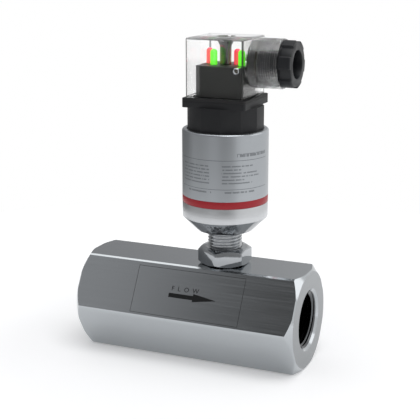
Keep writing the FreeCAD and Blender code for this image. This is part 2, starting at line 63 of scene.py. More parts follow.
# Camera: a long lens in front of the meter and to its right, turned to the outlet end and looking a
# little down on it. It has no roll, so the column stands upright.
MM = 0.001
camera_dip = 14.48
camera_swing = 23.28
camera_data = bpy.data.cameras.new("camera")
camera_data.lens = 90.43
camera_data.sensor_width = 36
camera_data.clip_start = 0.01
camera = bpy.data.objects.new("camera", camera_data)
camera.location = (194.74 * MM, -440.30 * MM, 194.14 * MM)
camera.rotation_euler = (math.radians(90 - camera_dip), 0, math.radians(camera_swing))
bpy.context.scene.collection.objects.link(camera)
bpy.context.scene.camera = camera
bpy.context.scene.view_settings.view_transform = "Standard"


# Studio: a white sweep under a broad soft box. Lens and clear plastic see the sweep as white, and
# polished metal sees a grey room with a bright wall on the right, dark cards in front and the soft box
# overhead.
def linear(colour):
    """The linear value of an sRGB colour written as a hex string."""
    channels = []
    for start in (1, 3, 5):
        value = int(colour[start:start + 2], 16) / 255
        channels.append(value / 12.92 if value <= 0.04045 else ((value + 0.055) / 1.055) ** 2.4)
    return (*channels, 1.0)


def add_node(tree, kind, inputs=None, **settings):
    """One shader node, with its settings made and its inputs set or linked."""
    made = tree.nodes.new("ShaderNode" + kind)
    for name, value in settings.items():
        setattr(made, name, value)
    for name, value in (inputs or {}).items():
        if isinstance(value, bpy.types.NodeSocket):
            tree.links.new(value, made.inputs[name])
        else:
            made.inputs[name].default_value = value
    return made


def start_material(name):
    """A new empty material; returns it and its node tree."""
    made = bpy.data.materials.new(name)
    made.use_nodes = True
    made.node_tree.nodes.clear()
    return made, made.node_tree


def show(tree, shader):
    """Send a shader's result to the surface."""
    add_node(tree, "OutputMaterial", {"Surface": shader.outputs[0]})


world = bpy.data.worlds.new("studio")
bpy.context.scene.world = world
world.use_nodes = True
room = world.node_tree
room.nodes.clear()
rays = add_node(room, "LightPath")
direction = add_node(room, "TexCoord")
height = add_node(room, "SeparateXYZ", {0: direction.outputs["Generated"]})
room_greys = add_node(room, "ValToRGB", {0: height.outputs["Z"]})
grey_stops = ((0.05, 0.85), (0.2, 0.34), (0.35, 0.36), (0.62, 0.47), (0.78, 0.6), (0.88, 1.0))
while len(room_greys.color_ramp.elements) < len(grey_stops):
    room_greys.color_ramp.elements.new(0.5)
for stop, (position, grey) in zip(room_greys.color_ramp.elements, grey_stops):
    stop.position = position
    stop.color = (grey, grey, grey * 1.02, 1)
# Soft-edged cards hang in the room. Each has the way it lies, how near to that way it begins and is
# whole (1 is straight at it), and its grey: the bright wall on the right, two grey cards on the left,
# a dark one over the lens, a grey one under it and the shine of the soft box.
cards = (
    ((0.87, 0.5, 0.0), 0.0, 0.6, 0.92),
    ((-0.78, -0.44, -0.45), 0.3, 0.85, 0.43),
    ((-0.89, 0.44, -0.1), 0.75, 0.95, 0.23),
    ((-0.2, -0.77, 0.6), 0.953, 0.995, 0.09),
    ((0.38, -0.89, -0.25), 0.8, 0.97, 0.36),
    ((-0.38, 0.03, 0.92), 0.955, 0.985, 1.8),
)
dressed_room = room_greys.outputs[0]
for towards, edge, middle, grey in cards:
    nearness = add_node(room, "VectorMath", {0: direction.outputs["Generated"], 1: towards},
                        operation="DOT_PRODUCT")
    inside = add_node(room, "MapRange", {0: nearness.outputs["Value"], 1: edge, 2: middle},
                      interpolation_type="SMOOTHSTEP")
    dressed_room = add_node(room, "Mix", {
        "Factor": inside.outputs[0], 6: dressed_room, 7: (grey, grey, grey, 1)}, data_type="RGBA").outputs[2]
through_plastic = add_node(room, "Math", {0: rays.outputs["Transmission Depth"], 1: 0.5},
                           operation="GREATER_THAN")
direct = add_node(room, "Math", {0: rays.outputs["Is Camera Ray"], 1: through_plastic.outputs[0]},
                  operation="MAXIMUM")
undiffused = add_node(room, "Math", {0: rays.outputs["Diffuse Depth"], 1: 0.5}, operation="LESS_THAN")
seen = add_node(room, "Math", {0: direct.outputs[0], 1: undiffused.outputs[0]}, operation="MULTIPLY")
soft_fill = (0.58, 0.585, 0.60, 1)
glossy_room = add_node(room, "Mix", {
    "Factor": rays.outputs["Is Glossy Ray"], 6: soft_fill, 7: dressed_room}, data_type="RGBA")
whole_room = add_node(room, "Mix", {
    "Factor": seen.outputs[0], 6: glossy_room.outputs[2], 7: (1, 1, 1, 1)}, data_type="RGBA")
backdrop = add_node(room, "Background", {"Color": whole_room.outputs[2], "Strength": 1.0})
add_node(room, "OutputWorld", {"Surface": backdrop.outputs[0]})

bpy.ops.mesh.primitive_circle_add(vertices=128, radius=0.3, fill_type="NGON")
floor = bpy.context.object
floor.name = "floor"
paper, tree = start_material("white_paper")
paper_light = add_node(tree, "LightPath")
paper_seen = add_node(tree, "Math", {0: paper_light.outputs["Diffuse Depth"], 1: 0.5}, operation="LESS_THAN")
paper_spot = add_node(tree, "TexCoord")
from_middle = add_node(tree, "VectorMath", {0: paper_spot.outputs["Object"]}, operation="LENGTH")
# matt white paper; it brightens from the meter outwards, over 0.2 m, into the white room
sweep = add_node(tree, "MapRange", {0: from_middle.outputs["Value"], 1: 0.09, 2: 0.28, 3: 0.22, 4: 0.5})
glow = add_node(tree, "Math", {0: paper_seen.outputs[0], 1: sweep.outputs[0]}, operation="MULTIPLY")
paper_lit = add_node(tree, "BsdfDiffuse", {"Color": linear("#f4f4f4")})
paper_glow = add_node(tree, "Emission", {"Color": (1, 1, 1, 1), "Strength": glow.outputs[0]})
show(tree, add_node(tree, "AddShader", {0: paper_lit.outputs[0], 1: paper_glow.outputs[0]}))
floor.data.materials.append(paper)


def soft_box(name, place, target, width, power):
    """A square area lamp aimed at a point."""
    data = bpy.data.lights.new(name, "AREA")
    data.size = width
    data.energy = power
    lamp = bpy.data.objects.new(name, data)
    lamp.location = place
    way = [t - p for t, p in zip(target, place)]
    lamp.rotation_euler = (
        math.atan2(math.hypot(way[0], way[1]), -way[2]), 0, math.atan2(way[1], way[0]) - math.pi / 2,
    )
    bpy.context.scene.collection.objects.link(lamp)


centre = (0.01, 0, 0.08)
soft_box("key_light", (0.3, -0.25, 1.1), centre, 0.7, 4.5)
soft_box("side_light", (0.8, 0.35, 0.45), centre, 0.5, 0.7)


# Hexagonal body: a bright-drawn steel bar, coned at both ends on the lathe, bored through, and
# tapped with a pipe thread at each end. Nickel plating gives it a cool, clean gloss.
def clear_selection():
    """Leave nothing selected, so that the next operator acts on the new piece alone."""
    if bpy.context.mode != "OBJECT":
        bpy.ops.object.mode_set(mode="OBJECT")
    bpy.ops.object.select_all(action="DESELECT")


def take(piece):
    """Select one piece and make it the active one."""
    clear_selection()
    piece.select_set(True)
    bpy.context.view_layer.objects.active = piece


def lathe(name, outline, turns=96):
    """A closed solid turned about Z: a disc extruded and scaled through (radius, height) points."""
    clear_selection()
    first_r, first_z = outline[0]
    bpy.ops.mesh.primitive_circle_add(
        vertices=turns, radius=first_r, fill_type="NGON", location=(0, 0, first_z))
    piece = bpy.context.object
    piece.name = name
    bpy.ops.object.transform_apply(location=True)
    bpy.ops.object.mode_set(mode="EDIT")
    bpy.ops.mesh.select_all(action="SELECT")
    last_r, last_z = first_r, first_z
    for radius, z in outline[1:]:
        bpy.ops.mesh.extrude_region_move(TRANSFORM_OT_translate={"value": (0, 0, z - last_z)})
        ratio = radius / last_r
        bpy.ops.transform.resize(value=(ratio, ratio, 1), center_override=(0, 0, z))
        last_r, last_z = radius, z
    bpy.ops.mesh.select_all(action="SELECT")
    bpy.ops.mesh.normals_make_consistent(inside=False)
    bpy.ops.object.mode_set(mode="OBJECT")
    return piece


def apply_modifier(piece, kind, **settings):
    """Add a modifier, set it and apply it."""
    take(piece)
    added = piece.modifiers.new(kind.lower(), kind)
    for name, value in settings.items():
        setattr(added, name, value)
    bpy.ops.object.modifier_apply(modifier=added.name)


def combine(piece, other, operation):
    """Cut another solid from a piece, join it on or keep what both share; the other is used up."""
    apply_modifier(piece, "BOOLEAN", object=other, operation=operation, solver="EXACT")
    bpy.data.objects.remove(other)


def place(piece, turn=(0, 0, 0), move=(0, 0, 0)):
    """Turn and move a piece's mesh; its object stays at the origin."""
    take(piece)
    piece.rotation_euler = [math.radians(angle) for angle in turn]
    piece.location = move
    bpy.ops.object.transform_apply(location=True, rotation=True, scale=True)


def threaded_rod(name, root_r, crest_r, pitch, start, end, per_turn=48):
    """A closed rod with a V thread from start to end along Z: a zigzag of edges under a Screw modifier."""
    clear_selection()
    low = start - 2 * pitch
    bpy.ops.mesh.primitive_plane_add(size=pitch, location=(root_r, 0, low))
    piece = bpy.context.object
    piece.name = name
    bpy.ops.object.transform_apply(location=True)
    bpy.ops.object.mode_set(mode="EDIT")
    bpy.ops.mesh.select_mode(type="VERT")
    bpy.ops.mesh.select_all(action="SELECT")
    bpy.ops.mesh.merge(type="CENTER")
    depth = crest_r - root_r
    for _ in range(math.ceil((end - start) / pitch) + 3):
        for outward, upward in (
                (0, pitch / 8), (depth, pitch * 3 / 8), (0, pitch / 8), (-depth, pitch * 3 / 8)):
            bpy.ops.mesh.extrude_region_move(TRANSFORM_OT_translate={"value": (outward, 0, upward)})
    bpy.ops.object.mode_set(mode="OBJECT")
    apply_modifier(piece, "SCREW", axis="Z", screw_offset=pitch, angle=2 * math.pi, steps=per_turn,
                   render_steps=per_turn, use_smooth_shade=False)
    bpy.ops.object.mode_set(mode="EDIT")
    bpy.ops.mesh.select_all(action="SELECT")
    bpy.ops.mesh.remove_doubles(threshold=depth / 50)
    for height, outer in ((start, False), (end, True)):
        bpy.ops.mesh.select_all(action="SELECT")
        bpy.ops.mesh.bisect(plane_co=(0, 0, height), plane_no=(0, 0, 1), use_fill=True,
                            clear_outer=outer, clear_inner=not outer, threshold=1e-9)
    bpy.ops.mesh.select_all(action="SELECT")
    bpy.ops.mesh.normals_make_consistent(inside=False)
    bpy.ops.object.mode_set(mode="OBJECT")
    return piece


def finish_piece(piece, material, body, slot, *nodes, smooth_deg=30):
    """Shade a piece, give it its material and body, and let it stand for CAD nodes."""
    take(piece)
    bpy.ops.object.shade_smooth_by_angle(angle=math.radians(smooth_deg))
    piece.data.materials.clear()
    piece.data.materials.append(material)
    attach(piece, body)
    if nodes:
        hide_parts(*nodes)


def dress(material, *nodes):
    """Give a material to CAD nodes."""
    for name in nodes:
        slots = frame["nodes"][name].data.materials
        slots.clear()
        slots.append(material)


body_low, body_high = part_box("hex_body")
body_length = body_high[0] - body_low[0]
across_flats = body_high[2] - body_low[2]
bore_z = (body_low[2] + body_high[2]) / 2
pickup_x = sum(corner[0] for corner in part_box("housing_sleeve")) / 2
corner_r = across_flats / math.sqrt(3)
cone_length = 3.2 * MM
end_face_r = across_flats / 2 - 0.35 * MM
port_root_r = 13.22 * MM
port_crest_r = 12.06 * MM
port_pitch = 1.814 * MM
port_depth = 16 * MM
bore_r = 11 * MM
chamber_r = 10 * MM
half_length = body_length / 2
edge_break = 0.65 * MM
port_cone_r = 14.6 * MM
port_cone_depth = 2.74 * MM
chamber_half = 8 * MM
pocket_r = 8.05 * MM
pocket_mouth_r = 9.05 * MM
pocket_floor_z = 34.5 * MM
overrun = 1 * MM

clear_selection()
bpy.ops.mesh.primitive_cylinder_add(vertices=6, radius=corner_r, depth=body_length)
bar = bpy.context.object
bar.name = "body_bar"
bpy.ops.object.mode_set(mode="EDIT")
bpy.ops.mesh.select_all(action="DESELECT")
bpy.ops.object.mode_set(mode="OBJECT")
for edge in bar.data.edges:
    ends = [bar.data.vertices[index].co for index in edge.vertices]
    edge.select = abs(ends[0].z - ends[1].z) > body_length / 2
bpy.ops.object.mode_set(mode="EDIT")
bpy.ops.mesh.select_mode(type="EDGE")
bpy.ops.mesh.bevel(offset=edge_break, segments=1)
bpy.ops.object.mode_set(mode="OBJECT")
slope = (corner_r - end_face_r) / cone_length
reach = cone_length + overrun
envelope = lathe("cone_ends", [
    (end_face_r, -half_length), (end_face_r + slope * reach, -half_length + reach),
    (end_face_r + slope * reach, half_length - reach), (end_face_r, half_length),
], turns=192)
combine(bar, envelope, "INTERSECT")
through = lathe("through_bore", [
    (bore_r, -half_length + port_depth - overrun), (bore_r, pickup_x - chamber_half),
    (chamber_r, pickup_x - chamber_half), (chamber_r, pickup_x + chamber_half),
    (bore_r, pickup_x + chamber_half), (bore_r, half_length - port_depth + overrun),
], turns=128)
combine(bar, through, "DIFFERENCE")
for side in (-1, 1):
    tapped = threaded_rod("port_thread", port_crest_r, port_root_r, port_pitch,
                          half_length - port_depth, half_length + overrun)
    cone = lathe("port_cone", [
        (port_crest_r - 0.2 * MM, half_length - port_cone_depth),
        (port_cone_r + overrun, half_length + overrun)], turns=128)
    if side < 0:
        place(tapped, turn=(180, 0, 0))
        place(cone, turn=(180, 0, 0))
    combine(bar, tapped, "DIFFERENCE")
    combine(bar, cone, "DIFFERENCE")
place(bar, turn=(0, 90, 0), move=(0, 0, bore_z))
pocket = lathe("pickup_pocket", [
    (pocket_r, pocket_floor_z), (pocket_r, body_high[2] - 1 * MM), (pocket_mouth_r, body_high[2]),
    (pocket_mouth_r + 0.15 * MM, body_high[2] + overrun)])
place(pocket, move=(pickup_x, 0, 0))
combine(bar, pocket, "DIFFERENCE")

# nickel over cold-drawn bar: a cool gloss with faint drawing lines along it, about 0.5 mm apart
plated_steel, tree = start_material("nickel_plated_drawn_steel")
spot = add_node(tree, "TexCoord")
lengthwise = add_node(tree, "Mapping", {"Vector": spot.outputs["Object"], "Scale": (30, 1800, 1800)})
grain = add_node(tree, "TexNoise", {"Vector": lengthwise.outputs[0], "Scale": 1.0, "Detail": 3.0})
shine = add_node(tree, "MapRange", {0: grain.outputs[0], 1: 0.3, 2: 0.7, 3: 0.10, 4: 0.20})
lines = add_node(tree, "Bump", {"Height": grain.outputs[0], "Strength": 0.05, "Distance": 0.0002})
# the sawn and faced ends are rougher than the drawn flats, and their colour is painted darker as shade
along = add_node(tree, "SeparateXYZ", {0: spot.outputs["Object"]})
from_centre = add_node(tree, "Math", {0: along.outputs["X"]}, operation="ABSOLUTE")
end_rough_and_shaded = add_node(tree, "Math", {0: from_centre.outputs[0], 1: half_length - 0.02 * MM},
                  operation="GREATER_THAN")
plating = add_node(tree, "Mix", {
    "Factor": end_rough_and_shaded.outputs[0], 6: linear("#b4b8bb"), 7: linear("#8e9193")}, data_type="RGBA")
plate_rough = add_node(tree, "Mix", {0: end_rough_and_shaded.outputs[0], 2: shine.outputs[0], 3: 0.3})
# the bore and the ports are painted darker as shade, since little light gets inside
to_axis = add_node(tree, "CombineXYZ", {1: along.outputs["Y"], 2: along.outputs["Z"]})
off_axis = add_node(tree, "VectorMath", {0: to_axis.outputs[0], 1: (0, 0, bore_z)}, operation="DISTANCE")
bore_painted_shade = add_node(tree, "Math", {0: off_axis.outputs["Value"], 1: port_root_r + 0.3 * MM},
                   operation="LESS_THAN")
steel_with_painted_shade = add_node(tree, "Mix", {
    "Factor": bore_painted_shade.outputs[0], 6: plating.outputs[2], 7: linear("#5c5e60")}, data_type="RGBA")
show(tree, add_node(tree, "BsdfPrincipled", {
    "Base Color": steel_with_painted_shade.outputs[2], "Metallic": 1.0, "Roughness": plate_rough.outputs[0],
    "Normal": lines.outputs[0]}))
finish_piece(bar, plated_steel, "flow_body", "body_steel", "hex_body", smooth_deg=20)


# Marking on the body's upper front flat: a thin frame, a flow arrow and the word FLOW, etched and
# filled black.
face_turn = (60, 0, 0)
face_edge = (pickup_x, -corner_r, bore_z)
ink_height = 0.03 * MM


def fine_grain(tree, per_metre, strength, detail=3.0, depth=0.05 * MM):
    """A fine bump from noise with so many grains to the metre: 2500 are 0.4 mm wide."""
    where = add_node(tree, "TexCoord")
    noise = add_node(tree, "TexNoise", {
        "Vector": where.outputs["Object"], "Scale": per_metre, "Detail": detail})
    bump = add_node(tree, "Bump", {"Height": noise.outputs[0], "Strength": strength, "Distance": depth})
    return bump.outputs[0]


# matt black filler, a little rough where it was wiped off
etch_ink, tree = start_material("black_etch_fill")
show(tree, add_node(tree, "BsdfPrincipled", {
    "Base Color": linear("#131415"), "Roughness": 0.6, "Specular IOR Level": 0.2,
    "Normal": fine_grain(tree, 2500.0, 0.3)}))


def etched_bar(name, left, right, low, high):
    """A flat bar on the marked flat: x from the pickup's axis, height up the flat from its edge."""
    clear_selection()
    bpy.ops.mesh.primitive_cube_add(size=1)
    bar_piece = bpy.context.object
    bar_piece.name = name
    bar_piece.scale = (right - left, high - low, 2 * ink_height)
    bar_piece.location = ((left + right) / 2, (low + high) / 2, 0)
    bpy.ops.object.transform_apply(location=True, scale=True)
    return bar_piece


frame_left, frame_right = -37.7 * MM, 16.5 * MM
frame_low, frame_high = 1.6 * MM, 24.2 * MM
frame_line = 0.16 * MM
shaft_left, shaft_right = -19.85 * MM, -7.6 * MM
shaft_low, shaft_high = 10.9 * MM, 12.9 * MM
arrow_length = 11.7 * MM
arrow_half = 1.95 * MM
arrow_middle = 11.95 * MM
marks = [
    etched_bar("frame_bottom", frame_left, frame_right, frame_low, frame_low + frame_line),
    etched_bar("frame_top", frame_left, frame_right, frame_high - frame_line, frame_high),
    etched_bar("frame_left", frame_left, frame_left + frame_line, frame_low, frame_high),
    etched_bar("frame_right", frame_right - frame_line, frame_right, frame_low, frame_high),
    etched_bar("arrow_shaft", shaft_left, shaft_right, shaft_low, shaft_high),
]
for mark in marks:
    place(mark, turn=face_turn, move=face_edge)
    finish_piece(mark, etch_ink, "flow_body", "body_steel")

clear_selection()
bpy.ops.mesh.primitive_cylinder_add(
    vertices=3, radius=1, depth=2 * ink_height, rotation=(0, 0, math.radians(30)))
arrow_head = bpy.context.object
arrow_head.name = "arrow_head"
bpy.ops.object.transform_apply(rotation=True)
tip_x = max(vertex.co.x for vertex in arrow_head.data.vertices)
base_x = min(vertex.co.x for vertex in arrow_head.data.vertices)
half_width = max(vertex.co.y for vertex in arrow_head.data.vertices)
arrow_head.scale = (arrow_length / (tip_x - base_x), arrow_half / half_width, 1)
bpy.ops.object.transform_apply(scale=True)
head_shift = shaft_right - min(vertex.co.x for vertex in arrow_head.data.vertices)
arrow_head.location = (head_shift, arrow_middle, 0)
bpy.ops.object.transform_apply(location=True)
place(arrow_head, turn=face_turn, move=face_edge)
finish_piece(arrow_head, etch_ink, "flow_body", "body_steel")

word_left, word_low = -19.0 * MM, 14.2 * MM
word_size = 3.1 * MM
clear_selection()
bpy.ops.object.text_add(location=(word_left, word_low, 0))
flow_word = bpy.context.object
flow_word.name = "flow_word"
flow_word.data.body = "FLOW"
flow_word.data.size = word_size
flow_word.data.space_character = 2.1
flow_word.data.extrude = ink_height
bpy.ops.object.convert(target="MESH")
bpy.ops.object.transform_apply(location=True)
place(flow_word, turn=face_turn, move=face_edge)
finish_piece(flow_word, etch_ink, "flow_body", "body_steel")


# Rotor and its carriers: the rotor is milled from magnetic stainless steel with helical blades, and
# spins on a ground pin between vaned carriers of machined stainless steel, held by spring rings.

# milled stainless: a soft grey shine broken by tool marks, drawn 0.4 mm apart so that they show
vane_steel, tree = start_material("machined_stainless_steel")
show(tree, add_node(tree, "BsdfPrincipled", {
    "Base Color": linear("#a9abad"), "Metallic": 1.0, "Roughness": 0.28,
    "Normal": fine_grain(tree, 2500.0, 0.1, 2.0, 0.1 * MM)}))
dress(vane_steel, "inlet_straightener", "outlet_support", "rotor")

# ground and lapped metal: nearly a mirror
ground_pin, tree = start_material("ground_hard_metal")
show(tree, add_node(tree, "BsdfPrincipled", {
    "Base Color": linear("#c6c6c8"), "Metallic": 1.0, "Roughness": 0.12,
    "Normal": fine_grain(tree, 1800.0, 0.05)}))
dress(ground_pin, "rotor_shaft", "pickup_magnet", "pole_piece")

# carbon-filled plastic: black with a dull, grainy gloss
graphite, tree = start_material("carbon_filled_plastic")
show(tree, add_node(tree, "BsdfPrincipled", {
    "Base Color": linear("#1b1b1d"), "Roughness": 0.45,
    "Normal": fine_grain(tree, 3000.0, 0.25)}))
dress(graphite, "inlet_bearing", "outlet_bearing")

# phosphated wire: dark grey and dull, with a crystal grain drawn 0.45 mm wide
spring_steel, tree = start_material("phosphated_spring_steel")
show(tree, add_node(tree, "BsdfPrincipled", {
    "Base Color": linear("#4a4b4e"), "Metallic": 1.0, "Roughness": 0.4,
    "Normal": fine_grain(tree, 2200.0, 0.3)}))
dress(spring_steel, "inlet_retaining_ring", "outlet_retaining_ring")


# Neck: a stainless tube with a fine thread cut along it, closed below, which screws into the body
# and carries the housing. The pickup coil sits inside.
stub_low, stub_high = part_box("sensor_stub")
neck_crest_r = (stub_high[0] - stub_low[0]) / 2
neck_pitch = 1.5 * MM
neck_thread_depth = 0.92 * MM
neck_bore_r = 5.6 * MM
neck_bottom_z = stub_low[2] + 1 * MM
neck_floor_z = stub_low[2] + 2 * MM
neck = threaded_rod("neck_thread", neck_crest_r - neck_thread_depth, neck_crest_r, neck_pitch,
                    neck_bottom_z, stub_high[2])
neck_bore = lathe("neck_bore", [
    (neck_bore_r, neck_floor_z), (neck_bore_r, stub_high[2] + overrun)], turns=64)
combine(neck, neck_bore, "DIFFERENCE")
place(neck, move=(pickup_x, 0, 0))
# stainless fresh from the thread die: bright, with small tears on the flanks
thread_steel, tree = start_material("thread_cut_stainless_steel")
show(tree, add_node(tree, "BsdfPrincipled", {
    "Base Color": linear("#b0b2b4"), "Metallic": 1.0, "Roughness": 0.22,
    "Normal": fine_grain(tree, 2600.0, 0.12)}))
finish_piece(neck, thread_steel, "sensor_head", "thread_steel", "sensor_stub")

# enamelled copper: a warm red shine in windings drawn about 0.4 mm apart, along the spool
copper, tree = start_material("enamelled_copper_wire")
spot = add_node(tree, "TexCoord")
windings = add_node(tree, "TexWave", {"Vector": spot.outputs["Object"], "Scale": 800.0}, bands_direction="Z")
wound = add_node(tree, "Bump", {"Height": windings.outputs["Fac"], "Strength": 0.5, "Distance": 0.0001})
show(tree, add_node(tree, "BsdfPrincipled", {
    "Base Color": linear("#b5622f"), "Metallic": 1.0, "Roughness": 0.3, "Normal": wound.outputs[0]}))
dress(copper, "pickup_coil")

# natural nylon: cream, with the dull skin of a mould
nylon, tree = start_material("natural_nylon")
show(tree, add_node(tree, "BsdfPrincipled", {
    "Base Color": linear("#dcd8c8"), "Roughness": 0.45,
    "Normal": fine_grain(tree, 1500.0, 0.2)}))
dress(nylon, "coil_bobbin")


# Lock nut: a hexagon nut machined from bar, its corners coned on both sides, and nickel plated. It is
# turned down on the body's top flat and holds the neck, and so the housing, from turning.
def softened(node, name, width, segments=2, angle=30):
    """A copy of a CAD piece with its facets joined and its edges broken by width."""
    source = frame["nodes"][node]
    piece = source.copy()
    piece.data = source.data.copy()
    piece.name = name
    piece.parent = None
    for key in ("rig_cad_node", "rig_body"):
        if key in piece:
            del piece[key]
    bpy.context.scene.collection.objects.link(piece)
    take(piece)
    bpy.ops.object.mode_set(mode="EDIT")
    bpy.ops.mesh.select_all(action="SELECT")
    bpy.ops.mesh.remove_doubles(threshold=1e-6)
    bpy.ops.mesh.dissolve_limited(angle_limit=math.radians(0.5))
    bpy.ops.object.mode_set(mode="OBJECT")
    apply_modifier(piece, "BEVEL", width=width, segments=segments, limit_method="ANGLE",
                   angle_limit=math.radians(angle), harden_normals=False)
    return piece


# nickel over machined steel: bright flats with faint waves about 0.7 mm wide
nut_steel, tree = start_material("nickel_plated_machined_steel")
show(tree, add_node(tree, "BsdfPrincipled", {
    "Base Color": linear("#9da0a3"), "Metallic": 1.0, "Roughness": 0.10,
    "Normal": fine_grain(tree, 1500.0, 0.04, 2.0, 0.1 * MM)}))
finish_piece(softened("lock_nut", "lock_nut_plated", 0.15 * MM), nut_steel, "neck_nut", "nut_steel",
             "lock_nut")


# Housing foot: turned from stainless bar in one piece, polished on its cone and finely brushed round
# its band. The neck screws into it, and the red ring and the tube stand on it.
foot_low, foot_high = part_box("lower_housing")
housing_r = (foot_high[0] - foot_low[0]) / 2
cone_top_z = foot_low[2] + 6.6 * MM
# stainless: polished and darker on the cone; on the band brushed round in lines about 0.3 mm apart, so
# it is paler and softer there
foot_steel, tree = start_material("turned_stainless_steel")
spot = add_node(tree, "TexCoord")
heights = add_node(tree, "SeparateXYZ", {0: spot.outputs["Object"]})
on_band = add_node(tree, "Math", {0: heights.outputs["Z"], 1: cone_top_z}, operation="GREATER_THAN")
round_lines = add_node(tree, "Mapping", {"Vector": spot.outputs["Object"], "Scale": (20, 20, 3000)})
brushing = add_node(tree, "TexNoise", {"Vector": round_lines.outputs[0], "Scale": 1.0, "Detail": 3.0})
band_rough = add_node(tree, "MapRange", {0: brushing.outputs[0], 1: 0.3, 2: 0.7, 3: 0.28, 4: 0.38})
foot_rough = add_node(tree, "Mix", {0: on_band.outputs[0], 2: 0.15, 3: band_rough.outputs[0]})
foot_colour = add_node(tree, "Mix", {
    "Factor": on_band.outputs[0], 6: linear("#a4a6a8"), 7: linear("#c2c4c6")}, data_type="RGBA")
brush_depth = add_node(tree, "Math", {0: on_band.outputs[0], 1: 0.15}, operation="MULTIPLY")
brush_bump = add_node(tree, "Bump", {
    "Height": brushing.outputs[0], "Strength": brush_depth.outputs[0], "Distance": 0.0001})
show(tree, add_node(tree, "BsdfPrincipled", {
    "Base Color": foot_colour.outputs[2], "Metallic": 1.0, "Roughness": foot_rough.outputs[0],
    "Normal": brush_bump.outputs[0]}))
finish_piece(softened("lower_housing", "housing_foot", 0.2 * MM), foot_steel, "sensor_head", "turned_steel",
             "lower_housing")


# Red ring: a narrow ring parted off aluminium tube and anodised red. It is trapped between the foot
# and the tube when they are pressed together.

# dyed anodising over a bead-blasted skin: a deep red with a soft sheen, its grain drawn 0.3 mm wide
red_anodised, tree = start_material("red_anodised_aluminium")
show(tree, add_node(tree, "BsdfPrincipled", {
    "Base Color": linear("#9c1722"), "Metallic": 0.2, "Roughness": 0.42,
    "Normal": fine_grain(tree, 3200.0, 0.25)}))
finish_piece(softened("accent_ring", "red_ring", 0.15 * MM), red_anodised, "sensor_head", "accent_red",
             "accent_ring")


# Housing tube: drawn aluminium, cut to length, etched and anodised, with lines of small grey print
# round its front. It covers the circuit board and grips the connector base in its mouth.

# clear anodising over an etched skin: a satin silver, its grain drawn 0.25 mm wide; the print is grey and
# spells nothing
anodised, tree = start_material("satin_anodised_aluminium")
spot = add_node(tree, "TexCoord")
around = add_node(tree, "Mapping", {"Vector": spot.outputs["Object"], "Location": (-pickup_x, 0, 0)})
parts = add_node(tree, "SeparateXYZ", {0: around.outputs[0]})
forward = add_node(tree, "Math", {0: parts.outputs["Y"], 1: -1.0}, operation="MULTIPLY")
bearing = add_node(tree, "Math", {0: parts.outputs["X"], 1: forward.outputs[0]}, operation="ARCTAN2")
# the print is laid out in millimetres: across, from the middle of the label, and up
label_turn = math.radians(20)
across_turn = add_node(tree, "Math", {0: bearing.outputs[0], 1: label_turn}, operation="SUBTRACT")
across = add_node(tree, "Math", {0: across_turn.outputs[0], 1: housing_r / MM}, operation="MULTIPLY")
up = add_node(tree, "Math", {0: parts.outputs["Z"], 1: 1000.0}, operation="MULTIPLY")


def between(value, low, high):
    """1 where a value lies between two limits."""
    above = add_node(tree, "Math", {0: value.outputs[0], 1: low}, operation="GREATER_THAN")
    below = add_node(tree, "Math", {0: value.outputs[0], 1: high}, operation="LESS_THAN")
    return add_node(tree, "Math", {0: above.outputs[0], 1: below.outputs[0]}, operation="MULTIPLY")


def either(*masks):
    """1 where any of the masks is 1."""
    joined = masks[0]
    for mask in masks[1:]:
        joined = add_node(tree, "Math", {0: joined.outputs[0], 1: mask.outputs[0]}, operation="MAXIMUM")
    return joined


def both(one, other):
    """1 where both masks are 1."""
    return add_node(tree, "Math", {0: one.outputs[0], 1: other.outputs[0]}, operation="MULTIPLY")


row_pitch = 1.53
lowest_row = 87.53
letter_pitch = 0.46
row_place = add_node(tree, "MapRange", {0: up.outputs[0], 1: lowest_row, 2: lowest_row + row_pitch},
                     clamp=False)
row_number = add_node(tree, "Math", {0: row_place.outputs[0]}, operation="FLOOR")
row_share = add_node(tree, "Math", {0: row_place.outputs[0]}, operation="FRACT")
letter_place = add_node(tree, "Math", {0: across.outputs[0], 1: letter_pitch}, operation="DIVIDE")
letter_number = add_node(tree, "Math", {0: letter_place.outputs[0]}, operation="FLOOR")
letter_share = add_node(tree, "Math", {0: letter_place.outputs[0]}, operation="FRACT")
letter_cell = add_node(tree, "CombineXYZ", {0: letter_number.outputs[0], 1: row_number.outputs[0]})
letter_chance = add_node(tree, "TexWhiteNoise", {0: letter_cell.outputs[0]}, noise_dimensions="3D")
letter = add_node(tree, "Math", {0: letter_chance.outputs["Value"], 1: 0.14}, operation="GREATER_THAN")
row_chance = add_node(tree, "TexWhiteNoise", {"W": row_number.outputs[0]}, noise_dimensions="1D")
row_end = add_node(tree, "Math", {0: row_chance.outputs["Value"], 1: 11.0, 2: 8.0}, operation="MULTIPLY_ADD")
in_row = add_node(tree, "Math", {0: across.outputs[0], 1: row_end.outputs[0]}, operation="LESS_THAN")
upright = between(letter_share, 0.12, 0.78)
small_letters = both(both(between(row_share, 0.30, 0.70), upright), letter)
rows = between(row_number, -0.5, 5.5)
left_column = between(across, -22.7, -6.6)
right_column = both(between(across, -0.7, 19.0), in_row)
body_text = both(both(small_letters, rows), either(left_column, right_column))
foot_line = both(both(upright, letter), between(up, 83.7, 84.5))
foot_text = both(foot_line, either(between(across, -20.0, -5.5), between(across, 0.6, 15.0)))
heading_line = both(both(upright, letter), between(up, 100.1, 101.6))
heading = both(heading_line, between(across, 6.1, 23.0))
rules = both(either(between(up, 98.4, 98.6), between(up, 85.3, 85.5)), between(across, -24.0, 23.5))
ink = either(body_text, foot_text, heading, rules)
tube_colour = add_node(tree, "Mix", {
    "Factor": ink.outputs[0], 6: linear("#a9adb1"), 7: linear("#5c6064")}, data_type="RGBA")
tube_metal = add_node(tree, "Math", {0: 1.0, 1: ink.outputs[0]}, operation="SUBTRACT")
